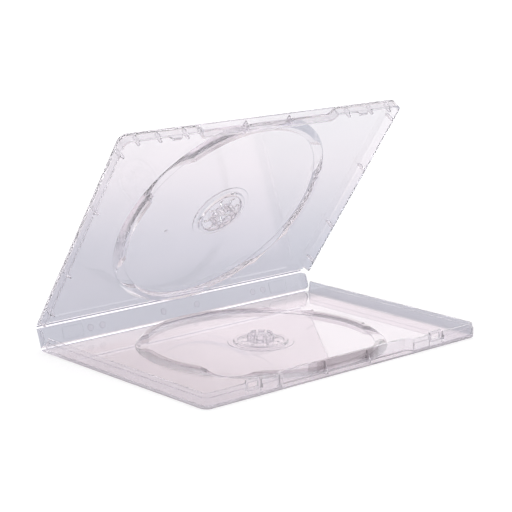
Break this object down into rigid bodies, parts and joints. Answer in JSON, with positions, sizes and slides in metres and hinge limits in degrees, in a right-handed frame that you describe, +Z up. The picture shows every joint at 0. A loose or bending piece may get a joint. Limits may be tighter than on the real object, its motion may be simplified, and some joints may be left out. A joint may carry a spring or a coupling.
{
  "type": "dvd case",
  "caption": "Clear moulded case for two discs, standing open: two walled covers with disc rings and push hubs, joined by a narrow spine on thin folding hinges.",
  "frame": {"origin": "on the surface it stands on, at the middle of the space it takes up at rest", "axes": "+X along the spine, -Y towards the opening edge of the back cover, +Z up"},
  "size_m": [0.19, 0.1394, 0.1231],
  "materials": {
    "clear_plastic": "clear polypropylene, glossy, very slightly milky"
  },
  "bodies": {
    "back": {"back_cover": "clear_plastic"},
    "spine": {"spine": "clear_plastic"},
    "front": {"front_cover": "clear_plastic"},
    "back_button": {"back_hub_button": "clear_plastic"},
    "front_button": {"front_hub_button": "clear_plastic"}
  },
  "joints": [
    {"name": "back_hinge", "type": "hinge", "parent": "back", "child": "spine", "pos_m": [0, 0.06494, 0.0004], "axis": [1, 0, 0], "range_deg": [-70.4, 19.6]},
    {"name": "front_hinge", "type": "hinge", "parent": "spine", "child": "front", "pos_m": [0, 0.06937, 0.01283], "axis": [1, 0, 0], "range_deg": [-54.5, 35.5]},
    {"name": "back_hub_press", "type": "slide", "parent": "back", "child": "back_button", "axis": [0, 0, -1], "range_m": [0, 0.001], "stiffness_N_per_m": 2000},
    {"name": "front_hub_press", "type": "slide", "parent": "front", "child": "front_button", "axis": [0, 0.8202, 0.5721], "range_m": [0, 0.001], "stiffness_N_per_m": 2000}
  ]
}
